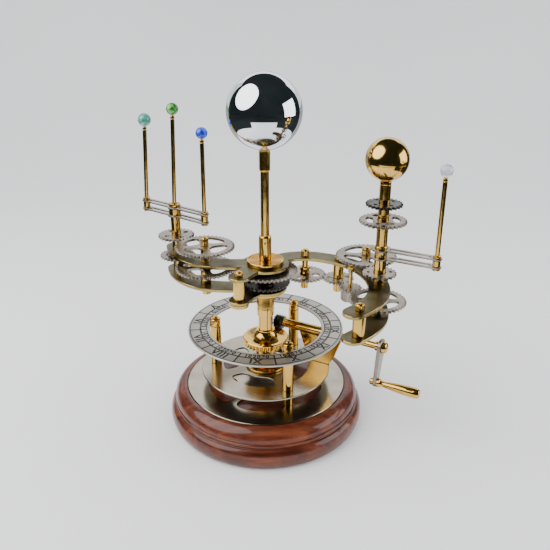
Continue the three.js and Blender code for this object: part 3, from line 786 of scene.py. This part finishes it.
def axles():
    """The frame's axles and pillars. Each is turned in steps with a round foot, and has a knurled nut."""
    under, over = heights("lower_arm_plate")[0] - GAP, heights("lower_arm_plate")[1] + GAP
    below, above = heights("upper_arm_plate")[0] - GAP, heights("upper_arm_plate")[1] + GAP
    wheel_bottom, wheel_top = heights("front_idler")
    gear_low, gear_high = wheel_bottom - GAP, wheel_top + GAP
    neck, pin = AXLE_NECK, AXLE_PIN
    steps_of = {
        "front_pillar": [(3.6, 142.5), (9.4, under), (neck, over), (5.6, below), (neck, above)],
        "tip_pillar": [(4.4, under), (neck, over), (5.6, below), (neck, above)],
        "left_axle": [(4.6, under), (neck, over), (5.2, 164.7), (pin, 189.8)],
        "front_idler_axle": [(4, 144.8), (5, gear_low), (pin, gear_high), (5, 162), (neck, above)],
        "middle_idler_axle": [(4.7, gear_low), (pin, gear_high), (5.2, below), (neck, above)],
        "pinion_axle": [(3.4, 140.7), (pin, above)],
        "upper_idler_axle": [(4, below), (neck, above), (4.3, 179.7), (pin, 182.8)],
    }
    nut_radii = {"front_pillar": 4.2, "tip_pillar": 4, "left_axle": 4, "front_idler_axle": 4.1,
                 "middle_idler_axle": 4.4, "pinion_axle": 3.4, "upper_idler_axle": 4.4}
    for node, steps in steps_of.items():
        bottom, top = heights(node)
        end_radius, nut_bottom = steps[-1]
        shaft = stepped(bottom + 0.8, [*steps[:-1], (end_radius, nut_bottom + 1)], edge=0.4)
        foot_radius = steps[0][0] * 0.8
        curve = [(foot_radius * math.sin(a), bottom + 1 - math.cos(a)) for a in (0.5, 0.9, 1.2, 1.5)]
        foot = lathe([(0, bottom), *curve, (0, bottom + 1.2)])
        nut_radius = nut_radii[node]
        nut = knurled(nut_radius, nut_bottom, top - nut_radius * 0.3)
        x, y = place(node)
        stand_for(node, [moved(part, x, y) for part in (shaft, foot, *nut)], BRASS)


# ---- Columns, bars, rods and beads ----

RIGHT_BORE = 5.9  # around the right tube
MOON_BARS = ("moon_bar_lower", "moon_bar_upper")


def left_gears():
    for node in ("left_lower_gear", "left_upper_gear"):
        gear(node, PIN_BORE, windows(4, 8, 23, 6, 60))
    low, high = heights("left_gear_sleeve")
    sleeve = stepped(low, [(4.3, low + 6), (3.8, high - 6), (4.3, high)], PIN_BORE)
    stand_for("left_gear_sleeve", [moved(sleeve, *axis_of("left_gear_sleeve"))], BRASS)
    gear("left_spindle_gear", SPINDLE_BORE, drillings(4, 10, 2.4, 20))
    gear("left_tube_gear", 5.1, drillings(4, 10.6, 2.6, 35))


def slotted_bar(node, eye, column, reach, azimuth, sides, bore):
    """A bar with an eye around the column and long slots, so that two thin rails show."""
    low, high = heights(node)
    half = 4.6
    slot_half = half - 2.5
    outlines = [circle(eye, 60)]
    holes = [circle(bore)]
    for side in sides:
        far = side * reach
        outlines.append(ribbon([(0, 0), (far / 2, 0), (far, 0)], half))
        slot = [(side * (eye + 1.5), 0), (far / 2, 0), (side * (reach - 7.5), 0)]
        holes.append(ribbon(slot, slot_half))
        holes.append(circle(1.9, 24, far, 0))
    part = sheet(united(outlines), holes, low, high, 0.2)
    turn = Matrix.Translation((*column, 0)) @ Matrix.Rotation(azimuth, 4, "Z")
    stand_for(node, [moved(part, matrix=turn)], NICKEL)


def leaning(x, y, bottom, bead):
    """Matrix and length of a rod that leans from its foot to its bead's centre."""
    way = Vector((bead[0] - x, bead[1] - y, bead[2] - bottom))
    turn = way.to_track_quat("Z", "Y").to_matrix().to_4x4()
    return Matrix.Translation((x, y, bottom)) @ turn, way.length


def bead_centre(node):
    low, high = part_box(node)
    return tuple((low + high) / 2 / MM)


def bead(node, material):
    """A bead that sits on its rod, drilled a little from below."""
    low, high = heights(node)
    radius = (high - low) / 2
    profile = [(0, -radius + 1.3), (0.9, -radius + 1.2), (1.1, -radius * 0.985)]
    profile += [*list(globe(radius, 0, -78, 90, 40))[:-1], (0, radius)]
    stand_for(node, [moved(lathe(profile, 64), *bead_centre(node))], material)


def rod_top(x, y, bottom, bead_node):
    """A thin rod up to its bead, with a groove just under its end."""
    matrix, length = leaning(x, y, bottom, bead_centre(bead_node))
    bead_low, bead_high = heights(bead_node)
    end = length - (bead_high - bead_low) / 2 - GAP
    groove = 1.75
    shank = [(0, 0), (ROD_RADIUS, 0), (ROD_RADIUS, end - 3.4), (groove, end - 3.2), (groove, end - 2.9),
             (ROD_RADIUS, end - 2.7), (ROD_RADIUS, end - 0.8), (1.5, end), (0, end)]
    return moved(lathe(softened(shank, 0.15), 32), matrix=matrix)


def bar_rod(node, bead_node, lower_bar, upper_bar, foot):
    """A rod whose foot clamps both bars of its arm."""
    lower, upper = heights(lower_bar), heights(upper_bar)
    x, y = foot
    clamp, pin = 3.5, 1.6
    steps = [(clamp, lower[0] - GAP), (pin, lower[1] + GAP), (clamp, upper[0] - GAP),
             (pin, upper[1] + GAP), (clamp, upper[1] + 2.2)]
    foot_part = stepped(lower[0] - 2.2, steps, edge=0.5)
    stand_for(node, [moved(foot_part, x, y), rod_top(x, y, upper[1] + 1, bead_node)], BRASS)


def foot_of(node):
    """Middle of a rod's clamp, from the lowest stretch of its CAD mesh."""
    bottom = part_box(node)[0].z
    low = [v.co for v in frame["nodes"][node].data.vertices if v.co.z < bottom + 1e-4]
    xs, ys = [v.x / MM for v in low], [v.y / MM for v in low]
    return (min(xs) + max(xs)) / 2, (min(ys) + max(ys)) / 2


def left_column():
    centre = axis_of("left_tube")
    teal, blue = foot_of("teal_rod"), foot_of("blue_rod")
    way = Vector(blue) - Vector(centre)
    azimuth, reach = math.atan2(way.y, way.x), way.length
    bars = ("left_bar_lower", "left_bar_upper")
    for node in bars:
        slotted_bar(node, 7.5, centre, reach, azimuth, (1, -1), 3.9)

    lower, upper = heights(bars[0]), heights(bars[1])
    low, high = heights("left_tube")
    wide, neck = 4.8, 3.6
    steps = [(wide, low + 20), (5, low + 20.6), (wide, lower[0] - GAP), (neck, lower[1] + GAP),
             (6, upper[0] - GAP), (neck, upper[1] + GAP), (5.6, high)]
    stand_for("left_tube", [moved(stepped(low, steps, 2.75), *centre)], BRASS)
    bar_rod("teal_rod", "teal_bead", *bars, teal)
    bar_rod("blue_rod", "blue_bead", *bars, blue)

    low = heights("centre_rod")[0]
    bend = 224  # where the rod starts to lean
    straight = stepped(low, [(ROD_RADIUS, 149.3), (5, 164.7), (ROD_RADIUS, bend + 0.5)], edge=0.3)
    leaning_part = rod_top(*centre, bend, "green_bead")
    stand_for("centre_rod", [moved(straight, *centre), leaning_part], BRASS)
    for node, material in (("teal_bead", TEAL), ("green_bead", GREEN), ("blue_bead", BLUE)):
        bead(node, material)


def right_gears():
    gear("front_idler", PIN_BORE, drillings(4, 12, 4.4, -20))
    gear("middle_idler", PIN_BORE, drillings(4, 9, 2.6, 5))
    low, high = heights("pinion_drum")
    drum = stepped(low, [(8.6, low + 0.8), (9, high - 3), (8.4, high - 2)], PIN_BORE)
    gear("pinion_drum", PIN_BORE, [], bottom=high - 2.5, extra=[drum])
    gear("upper_idler", PIN_BORE, windows(4, 8, 23, 6, 35))
    gear("right_lower_gear", RIGHT_BORE, windows(4, 10, 20.5, 5, 40))
    gear("right_middle_gear", RIGHT_BORE, drillings(4, 10.2, 1.7, 0))
    gear("moon_gear", 5.4, windows(4, 9, 15.6, 4, 0))
    gear("reference_gear", 5.3, drillings(4, 10, 1.8, 30), PAINTED_DARK_STEEL, centre=axis_of("right_tube"))


def right_tube():
    centre = axis_of("right_tube")
    low, high = heights("right_tube")
    tube = [(3.6, low), (5.6, low), (5.6, 208), (5.1, 208.6), (5.1, high), (3.6, high)]
    tube = lathe(softened(tube, 0.3, closed=True), closed=True)
    stand_for("right_tube", [moved(tube, *centre)], BRASS)
    levels = [heights(node)[1] + 2.4 for node in MOON_BARS]
    set_screws("right_tube_screws", "right_tube", centre, levels, 5, 5.9, 1.1, (0.5, 5.7))


def moon_arm():
    centre = axis_of("right_tube")
    foot = foot_of("moon_rod")
    way = Vector(foot) - Vector(centre)
    for node in MOON_BARS:
        slotted_bar(node, 9, centre, way.length, math.atan2(way.y, way.x), (1,), RIGHT_BORE)
    bar_rod("moon_rod", "crystal_bead", *MOON_BARS, foot)
    bead("crystal_bead", CRYSTAL)


def planet():
    """A post through the right tube, and its ball with a thin groove around it."""
    centre = axis_of("right_tube")
    low, high = heights("planet_post")
    post = stepped(low, [(4.4, 145.7), (3.2, 236.5), (5, high - 3), (4.6, high - 2.4), (5, high)])
    stand_for("planet_post", [moved(post, *centre)], BRASS)

    low, high = heights("planet_ball")
    middle, radius = (low + high) / 2, (high - low) / 2
    below = list(globe(radius, middle, -88, -8.5, 60))
    above = list(globe(radius, middle, -7.5, 90, 60))[:-1]
    groove = (radius - 0.35, middle - radius * 0.139)
    ball = lathe([(0, below[0][1]), *below, groove, *above, (0, high)], 144)
    stand_for("planet_ball", [moved(ball, *centre)], BRASS)


# ---- Crank ----

# Start and end of the crank arm, measured along the shaft.
ARM_INNER = 113
ARM_OUTER = 116.5


def along_crank(start):
    """Matrix that lays +Z along the crank's shaft, from a point on an axis parallel to it."""
    down = Vector((0, 0, -1))
    side = CRANK_WAY.cross(down)
    turn = Matrix((down, side, CRANK_WAY)).transposed().to_4x4()
    return Matrix.Translation(start) @ turn


def crank_bearing():
    bearing = stepped(5, [(5, 7), (4.6, 7.6), (5, 8.4), (5, 66), (5, 70), (4.6, 72)], 3.5, 64)
    stand_for("crank_bearing", [moved(bearing, matrix=along_crank(AXIS_OF["crank"]))], BRASS)


def bearing_web():
    """The upright plate under the bearing. Its own plane holds the shaft and the vertical."""
    height = AXIS_OF["crank"][2]
    foot, head = heights("middle_plate")[1] + GAP - height, -5.3
    waist = (foot + head) / 2
    upright = [(35, foot), (59, foot), (65, waist - 4), (72, head), (24, head), (30.5, waist - 2)]
    web = sheet(softened(upright, 1.2, closed=True), [], -1.5, 1.5, 0.3)
    up = Vector((0, 0, 1))
    to_web = Matrix((CRANK_WAY, up, CRANK_WAY.cross(up))).transposed().to_4x4()
    stand_for("bearing_web", [moved(web, matrix=Matrix.Translation(AXIS_OF["crank"]) @ to_web)], BRASS)


def crank_shaft():
    shaft = [(0, -7), (3.2, -7), (3.2, 74), (3.5, 74.4), (3.5, ARM_INNER - 4), (4.8, ARM_INNER - 3.6),
             (4.8, ARM_INNER - GAP), (3, ARM_INNER - GAP), (3, ARM_OUTER + GAP), (6.2, ARM_OUTER + GAP),
             (6.2, ARM_OUTER + 1.6)]
    boss = dome(5.8, ARM_OUTER + 2.2, 3.2)
    part = lathe(softened(shaft, 0.3)[:-1] + boss)
    stand_for("crank_shaft", [moved(part, matrix=along_crank(AXIS_OF["crank"]))], BRASS)


def worm_pinion():
    """A toothed roller whose teeth run round it as a steep helix."""
    teeth, radius, layers = 12, 7.6, 24
    bottom, length = -5, 9.5
    twist = math.radians(150)
    edge = toothed(teeth, 0, radius, radius / (teeth / 2 + 0.75))
    count = len(edge)
    verts, faces = [], []
    for k in range(layers + 1):
        turn = twist * k / layers
        c, s = math.cos(turn), math.sin(turn)
        verts += [(x * c - y * s, x * s + y * c, bottom + length * k / layers) for x, y in edge]
    for k in range(layers):
        low, high = k * count, (k + 1) * count
        for i in range(count):
            j = (i + 1) % count
            faces.append((low + i, low + j, high + j, high + i))
    faces += [list(range(count))[::-1], list(range(layers * count, (layers + 1) * count))]
    roller = moved((verts, faces), matrix=along_crank(AXIS_OF["crank"]))
    stand_for("worm_pinion", [roller], PAINTED_DARK_STEEL)


def crank_arm():
    pivot = Vector(AXIS_OF["handle"]) - Vector(AXIS_OF["crank"])
    reach = pivot.length
    across = pivot.dot(CRANK_WAY.cross(Vector((0, 0, -1))))
    arm_turn = math.atan2(across, -pivot.z)
    matrix = along_crank(AXIS_OF["crank"]) @ Matrix.Rotation(arm_turn, 4, "Z")
    edge = [polar(8.5, math.radians(90 + 10 * i)) for i in range(19)]
    edge += [(reach + x, y) for x, y in (polar(4.6, math.radians(-90 + 10 * i)) for i in range(19))]
    arm = sheet(edge, [circle(3.3), circle(2.3, 32, reach, 0)], ARM_INNER, ARM_OUTER, 0.5)
    stand_for("crank_arm", [moved(arm, matrix=matrix)], NICKEL)


def crank_handle():
    round_end = [(3.6 * math.sin(a), ARM_INNER - 2.6 - 2 * math.cos(a)) for a in (0.5, 0.9, 1.3)]
    neck = (3.6, ARM_OUTER + 3.2)
    pin = [(0, ARM_INNER - 4.6), *round_end, (3.6, ARM_INNER - GAP), (2, ARM_INNER - GAP),
           (2, ARM_OUTER + GAP), (4.6, ARM_OUTER + GAP), (4.6, ARM_OUTER + 2.4), neck]
    swell = [(2.9, 6.4), (3.5, 12), (4.6, 22), (5.3, 34), (5.2, 40), (4.2, 43.2), (2.2, 44), (0, 44)]
    grip = smooth_line([neck, *((radius, ARM_OUTER + along) for radius, along in swell)], 5)
    handle = lathe(softened(pin, 0.2)[:-1] + grip)
    stand_for("crank_handle", [moved(handle, matrix=along_crank(AXIS_OF["handle"]))], BRASS)


# ---- Studio ----


def wall_material(name, dark, light):
    shader = Shader(name, Specular_IOR_Level=0.1)
    patches = shader.noise(shader.space, 1.5, 3)
    shader.color(shader.ramp(patches, [(0.3, dark), (0.7, light)]))
    shader.roughness(shader.between(shader.noise(shader.space, 60, 3), 0.85, 0.95))
    return shader.material


def studio_floor():
    """A round sweep: flat under the object, rising to a wall all around it."""
    flat, wall, rise = 900, 2100, 1500
    bend_radius, steps = wall - flat, 24
    turns = [math.pi / 2 * i / steps for i in range(steps + 1)]
    bend = [(flat + bend_radius * math.sin(a), bend_radius * (1 - math.cos(a))) for a in turns]
    sweep = build("studio_floor", [lathe([(0, 0), *bend, (wall, rise)], 128)],
                  wall_material("pale_floor", (0.82, 0.82, 0.825), (0.85, 0.85, 0.855)))


def dark_surroundings():
    """The unlit part of the studio, which only reflections see. Light comes in over a low grey
    wall at the back, and over a wedge of pale floor in front."""
    black = wall_material("dark_studio", (0.010, 0.014, 0.015), (0.014, 0.018, 0.019))
    grey = wall_material("grey_studio", (0.26, 0.27, 0.28), (0.32, 0.33, 0.34))
    radius, columns = 1300, 36
    opening, wedge = math.radians(50), math.radians(40)  # half of each one's width
    wall_top, opening_top = (radius * math.sin(math.radians(lift)) for lift in (13, 50))
    lifts = [math.radians(6 * i) for i in range(1, 16)]
    profile = [(420, 3), (760, 3), (880, 3)]
    profile += [(radius * math.cos(a), radius * math.sin(a)) for a in lifts]
    verts = [(*polar(r, 2 * math.pi * c / columns), z) for r, z in profile for c in range(columns)]
    faces, grey_faces = [], []
    for row in range(len(profile) - 1):
        top = profile[row + 1][1]
        for c in range(columns):
            azimuth = 2 * math.pi * (c + 0.5) / columns
            at_back = abs(azimuth - math.pi / 2) < opening
            in_front = abs(azimuth - 3 * math.pi / 2) < wedge and row == 0
            if in_front or at_back and wall_top < top < opening_top:
                continue
            if at_back and top <= wall_top:
                grey_faces.append(len(faces))
            low, high, following = row * columns, (row + 1) * columns, (c + 1) % columns
            faces.append((low + c, low + following, high + following, high + c))
    dark = build("dark_surroundings", [(verts, faces)], black)
    dark.data.materials.append(grey)
    for face in grey_faces:
        dark.data.polygons[face].material_index = 1
    for ray in ("camera", "diffuse", "transmission", "shadow"):
        setattr(dark, f"visible_{ray}", False)


def softbox(name, shape, position, target, width, depth, power):
    light = bpy.data.lights.new(name, "AREA")
    light.shape = shape
    light.size = width
    light.size_y = depth
    light.energy = power
    lamp = bpy.data.objects.new(name, light)
    bpy.context.scene.collection.objects.link(lamp)
    lamp.location = position
    lamp.rotation_euler = (Vector(target) - Vector(position)).to_track_quat("-Z", "Y").to_euler()


def lights():
    middle = (0, 0, 0.2)
    softbox("softbox_left", "ELLIPSE", (-0.62, -0.2, 0.86), (0, 0, 0.3), 1.15, 1.15, 13)
    softbox("softbox_right", "RECTANGLE", (0.95, -0.12, 0.42), middle, 0.75, 0.6, 5)
    softbox("softbox_back", "RECTANGLE", (0.2, 1.2, 1.3), middle, 2.4, 1.2, 8)
    world = bpy.context.scene.world or bpy.data.worlds.new("studio")
    bpy.context.scene.world = world
    world.use_nodes = True
    background = world.node_tree.nodes["Background"]
    background.inputs["Color"].default_value = (0.95, 0.97, 1.0, 1)
    background.inputs["Strength"].default_value = 1.12


def camera():
    """In front of the object and a little above it, looking down at the column."""
    lens = bpy.data.cameras.new("camera")
    lens.lens = 42.36
    lens.sensor_width = 36
    lens.clip_start = 0.01
    view = bpy.data.objects.new("camera", lens)
    bpy.context.scene.collection.objects.link(view)
    view.location = (0.00963, -0.59079, 0.41964)
    view.rotation_euler = (math.radians(66.29), 0, 0)
    bpy.context.scene.camera = view


wood_base()
base_plates()
dial()
pillars()
fixed_post()
sun_gears()
sun_rod()
sun_ball()
hub_disc()
drive_wheel()
drive_sleeve()
arm_plates()
axles()
left_gears()
left_column()
right_gears()
right_tube()
moon_arm()
planet()
crank_bearing()
bearing_web()
crank_shaft()
worm_pinion()
crank_arm()
crank_handle()
studio_floor()
dark_surroundings()
lights()
camera()
